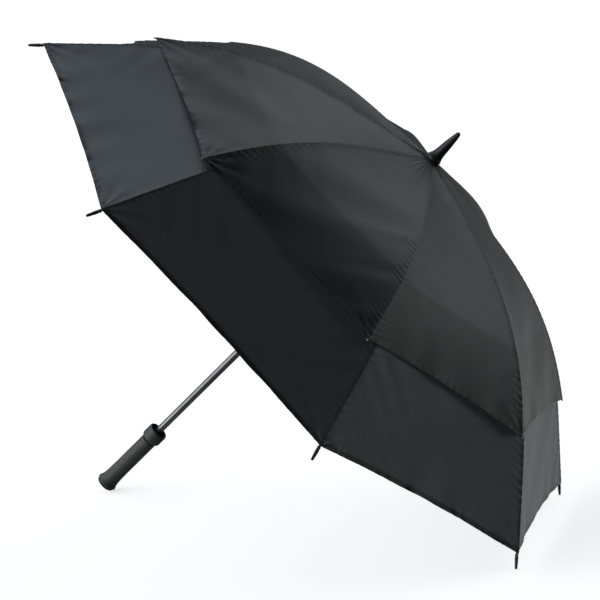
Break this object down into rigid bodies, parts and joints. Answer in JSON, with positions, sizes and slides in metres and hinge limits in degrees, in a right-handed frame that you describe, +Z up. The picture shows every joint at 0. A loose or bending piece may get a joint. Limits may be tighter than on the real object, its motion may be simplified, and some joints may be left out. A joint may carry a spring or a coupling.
{
  "type": "golf umbrella",
  "caption": "Golf umbrella with a vented double canopy on fibreglass ribs, a straight rubber handle and a slim black ferrule, stored open and lying on the ground.",
  "frame": {"origin": "on the ground, under the centre of the bounding box of the open umbrella lying on two rib tips and the end of its handle", "axes": "+Z up from the ground; the shaft lies in the XZ plane and rises towards +X, from the handle on the ground to the ferrule; +Y is across the canopy"},
  "size_m": [0.8832, 1.2182, 0.8624],
  "materials": {
    "canopy_cloth": "satin",
    "strap_cloth": "matte",
    "fibreglass": "satin",
    "black_plastic": "satin",
    "cup_plastic": "matte",
    "button_plastic": "satin",
    "grip_rubber": "matte",
    "shaft_coating": "satin",
    "steel_wire": "polished"
  },
  "bodies": {
    "frame": {"shaft": "shaft_coating", "ferrule": "black_plastic", "crown_cap": "black_plastic", "top_notch": "black_plastic", "notch_wire": "steel_wire", "tip_cup": "cup_plastic", "grip": "grip_rubber", "grip_end_cap": "cup_plastic"},
    "rib_1": {"rib_1_inner": "fibreglass", "canopy_upper_1": "canopy_cloth"},
    "rib_1_end": {"rib_1_outer": "fibreglass", "rib_1_tip": "black_plastic", "canopy_lower_1": "canopy_cloth"},
    "stretcher_1": {"stretcher_1": "fibreglass"},
    "rib_2": {"rib_2_inner": "fibreglass", "canopy_upper_2": "canopy_cloth"},
    "rib_2_end": {"rib_2_outer": "fibreglass", "rib_2_tip": "black_plastic", "canopy_lower_2": "canopy_cloth", "tie_strap": "strap_cloth"},
    "stretcher_2": {"stretcher_2": "fibreglass"},
    "rib_3": {"rib_3_inner": "fibreglass", "canopy_upper_3": "canopy_cloth"},
    "rib_3_end": {"rib_3_outer": "fibreglass", "rib_3_tip": "black_plastic", "canopy_lower_3": "canopy_cloth"},
    "stretcher_3": {"stretcher_3": "fibreglass"},
    "rib_4": {"rib_4_inner": "fibreglass", "canopy_upper_4": "canopy_cloth"},
    "rib_4_end": {"rib_4_outer": "fibreglass", "rib_4_tip": "black_plastic", "canopy_lower_4": "canopy_cloth"},
    "stretcher_4": {"stretcher_4": "fibreglass"},
    "rib_5": {"rib_5_inner": "fibreglass", "canopy_upper_5": "canopy_cloth"},
    "rib_5_end": {"rib_5_outer": "fibreglass", "rib_5_tip": "black_plastic", "canopy_lower_5": "canopy_cloth"},
    "stretcher_5": {"stretcher_5": "fibreglass"},
    "rib_6": {"rib_6_inner": "fibreglass", "canopy_upper_6": "canopy_cloth"},
    "rib_6_end": {"rib_6_outer": "fibreglass", "rib_6_tip": "black_plastic", "canopy_lower_6": "canopy_cloth"},
    "stretcher_6": {"stretcher_6": "fibreglass"},
    "rib_7": {"rib_7_inner": "fibreglass", "canopy_upper_7": "canopy_cloth"},
    "rib_7_end": {"rib_7_outer": "fibreglass", "rib_7_tip": "black_plastic", "canopy_lower_7": "canopy_cloth"},
    "stretcher_7": {"stretcher_7": "fibreglass"},
    "rib_8": {"rib_8_inner": "fibreglass", "canopy_upper_8": "canopy_cloth"},
    "rib_8_end": {"rib_8_outer": "fibreglass", "rib_8_tip": "black_plastic", "canopy_lower_8": "canopy_cloth"},
    "stretcher_8": {"stretcher_8": "fibreglass"},
    "runner": {"runner": "black_plastic", "runner_wire": "steel_wire"},
    "latch": {"latch_button": "button_plastic"}
  },
  "joints": [
    {"name": "canopy_fold", "type": "hinge", "parent": "frame", "child": "rib_1", "pos_m": [0.22219, 0.00459, 0.6416], "axis": [-0.2749, 0.9239, 0.2663], "range_deg": [0, 73.5], "deforming": ["canopy_upper_1"]},
    {"name": "rib_1_flex", "type": "hinge", "parent": "rib_1", "child": "rib_1_end", "pos_m": [0.39785, 0.139, 0.35656], "axis": [-0.2749, 0.9239, 0.2663], "range_deg": [-18.4, 0], "deforming": ["canopy_lower_1"]},
    {"name": "stretcher_1_turn", "type": "hinge", "parent": "rib_1", "child": "stretcher_1", "pos_m": [0.38638, 0.13291, 0.36587], "axis": [-0.2749, 0.9239, 0.2663], "range_deg": [-147, 0]},
    {"name": "rib_2_fold", "type": "hinge", "parent": "frame", "child": "rib_2", "pos_m": [0.21752, 0.01109, 0.64612], "axis": [-0.6636, 0.3827, 0.6428], "range_deg": [0, 73.5], "deforming": ["canopy_upper_2"]},
    {"name": "rib_2_flex", "type": "hinge", "parent": "rib_2", "child": "rib_2_end", "pos_m": [0.25665, 0.33559, 0.49333], "axis": [-0.6636, 0.3827, 0.6428], "range_deg": [-18.4, 0], "deforming": ["canopy_lower_2", "tie_strap"]},
    {"name": "stretcher_2_turn", "type": "hinge", "parent": "rib_2", "child": "stretcher_2", "pos_m": [0.25137, 0.32086, 0.49665], "axis": [-0.6636, 0.3827, 0.6428], "range_deg": [-147, 0]},
    {"name": "rib_3_fold", "type": "hinge", "parent": "frame", "child": "rib_3", "pos_m": [0.21092, 0.01109, 0.65251], "axis": [-0.6636, -0.3827, 0.6428], "range_deg": [0, 73.5], "deforming": ["canopy_upper_3"]},
    {"name": "rib_3_flex", "type": "hinge", "parent": "rib_3", "child": "rib_3_end", "pos_m": [0.05696, 0.33559, 0.68675], "axis": [-0.6636, -0.3827, 0.6428], "range_deg": [-18.4, 0], "deforming": ["canopy_lower_3"]},
    {"name": "stretcher_3_turn", "type": "hinge", "parent": "rib_3", "child": "stretcher_3", "pos_m": [0.06044, 0.32086, 0.68158], "axis": [-0.6636, -0.3827, 0.6428], "range_deg": [-147, 0]},
    {"name": "rib_4_fold", "type": "hinge", "parent": "frame", "child": "rib_4", "pos_m": [0.20626, 0.00459, 0.65703], "axis": [-0.2749, -0.9239, 0.2663], "range_deg": [0, 73.5], "deforming": ["canopy_upper_4"]},
    {"name": "rib_4_flex", "type": "hinge", "parent": "rib_4", "child": "rib_4_end", "pos_m": [-0.08424, 0.139, 0.82352], "axis": [-0.2749, -0.9239, 0.2663], "range_deg": [-18.4, 0], "deforming": ["canopy_lower_4"]},
    {"name": "stretcher_4_turn", "type": "hinge", "parent": "rib_4", "child": "stretcher_4", "pos_m": [-0.07457, 0.13291, 0.81235], "axis": [-0.2749, -0.9239, 0.2663], "range_deg": [-147, 0]},
    {"name": "rib_5_fold", "type": "hinge", "parent": "frame", "child": "rib_5", "pos_m": [0.20626, -0.00459, 0.65703], "axis": [0.2749, -0.9239, -0.2663], "range_deg": [0, 73.5], "deforming": ["canopy_upper_5"]},
    {"name": "rib_5_flex", "type": "hinge", "parent": "rib_5", "child": "rib_5_end", "pos_m": [-0.08424, -0.139, 0.82352], "axis": [0.2749, -0.9239, -0.2663], "range_deg": [-18.4, 0], "deforming": ["canopy_lower_5"]},
    {"name": "stretcher_5_turn", "type": "hinge", "parent": "rib_5", "child": "stretcher_5", "pos_m": [-0.07457, -0.13291, 0.81235], "axis": [0.2749, -0.9239, -0.2663], "range_deg": [-147, 0]},
    {"name": "rib_6_fold", "type": "hinge", "parent": "frame", "child": "rib_6", "pos_m": [0.21092, -0.01109, 0.65251], "axis": [0.6636, -0.3827, -0.6428], "range_deg": [0, 73.5], "deforming": ["canopy_upper_6"]},
    {"name": "rib_6_flex", "type": "hinge", "parent": "rib_6", "child": "rib_6_end", "pos_m": [0.05696, -0.33559, 0.68675], "axis": [0.6636, -0.3827, -0.6428], "range_deg": [-18.4, 0], "deforming": ["canopy_lower_6"]},
    {"name": "stretcher_6_turn", "type": "hinge", "parent": "rib_6", "child": "stretcher_6", "pos_m": [0.06044, -0.32086, 0.68158], "axis": [0.6636, -0.3827, -0.6428], "range_deg": [-147, 0]},
    {"name": "rib_7_fold", "type": "hinge", "parent": "frame", "child": "rib_7", "pos_m": [0.21752, -0.01109, 0.64612], "axis": [0.6636, 0.3827, -0.6428], "range_deg": [0, 73.5], "deforming": ["canopy_upper_7"]},
    {"name": "rib_7_flex", "type": "hinge", "parent": "rib_7", "child": "rib_7_end", "pos_m": [0.25665, -0.33559, 0.49333], "axis": [0.6636, 0.3827, -0.6428], "range_deg": [-18.4, 0], "deforming": ["canopy_lower_7"]},
    {"name": "stretcher_7_turn", "type": "hinge", "parent": "rib_7", "child": "stretcher_7", "pos_m": [0.25137, -0.32086, 0.49665], "axis": [0.6636, 0.3827, -0.6428], "range_deg": [-147, 0]},
    {"name": "rib_8_fold", "type": "hinge", "parent": "frame", "child": "rib_8", "pos_m": [0.22219, -0.00459, 0.6416], "axis": [0.2749, 0.9239, -0.2663], "range_deg": [0, 73.5], "deforming": ["canopy_upper_8"]},
    {"name": "rib_8_flex", "type": "hinge", "parent": "rib_8", "child": "rib_8_end", "pos_m": [0.39785, -0.139, 0.35656], "axis": [0.2749, 0.9239, -0.2663], "range_deg": [-18.4, 0], "deforming": ["canopy_lower_8"]},
    {"name": "stretcher_8_turn", "type": "hinge", "parent": "rib_8", "child": "stretcher_8", "pos_m": [0.38638, -0.13291, 0.36587], "axis": [0.2749, 0.9239, -0.2663], "range_deg": [-147, 0]},
    {"name": "runner_turn", "type": "hinge", "parent": "stretcher_1", "child": "runner", "pos_m": [0.10555, 0.00459, 0.5212], "axis": [-0.2749, 0.9239, 0.2663], "range_deg": [0, 73.5]},
    {"name": "latch_press", "type": "slide", "parent": "runner", "child": "latch", "axis": [-0.7183, 0, 0.6957], "range_m": [0, 0.002], "stiffness_N_per_m": 800, "springref_m": -0.001}
  ],
  "couplings": [
    {"joint": "rib_1_flex", "follows": "canopy_fold", "ratio": -0.2503},
    {"joint": "stretcher_1_turn", "follows": "canopy_fold", "ratio": -2},
    {"joint": "rib_2_fold", "follows": "canopy_fold", "ratio": 1},
    {"joint": "rib_2_flex", "follows": "canopy_fold", "ratio": -0.2503},
    {"joint": "stretcher_2_turn", "follows": "canopy_fold", "ratio": -2},
    {"joint": "rib_3_fold", "follows": "canopy_fold", "ratio": 1},
    {"joint": "rib_3_flex", "follows": "canopy_fold", "ratio": -0.2503},
    {"joint": "stretcher_3_turn", "follows": "canopy_fold", "ratio": -2},
    {"joint": "rib_4_fold", "follows": "canopy_fold", "ratio": 1},
    {"joint": "rib_4_flex", "follows": "canopy_fold", "ratio": -0.2503},
    {"joint": "stretcher_4_turn", "follows": "canopy_fold", "ratio": -2},
    {"joint": "rib_5_fold", "follows": "canopy_fold", "ratio": 1},
    {"joint": "rib_5_flex", "follows": "canopy_fold", "ratio": -0.2503},
    {"joint": "stretcher_5_turn", "follows": "canopy_fold", "ratio": -2},
    {"joint": "rib_6_fold", "follows": "canopy_fold", "ratio": 1},
    {"joint": "rib_6_flex", "follows": "canopy_fold", "ratio": -0.2503},
    {"joint": "stretcher_6_turn", "follows": "canopy_fold", "ratio": -2},
    {"joint": "rib_7_fold", "follows": "canopy_fold", "ratio": 1},
    {"joint": "rib_7_flex", "follows": "canopy_fold", "ratio": -0.2503},
    {"joint": "stretcher_7_turn", "follows": "canopy_fold", "ratio": -2},
    {"joint": "rib_8_fold", "follows": "canopy_fold", "ratio": 1},
    {"joint": "rib_8_flex", "follows": "canopy_fold", "ratio": -0.2503},
    {"joint": "stretcher_8_turn", "follows": "canopy_fold", "ratio": -2},
    {"joint": "runner_turn", "follows": "canopy_fold", "ratio": 1}
  ]
}
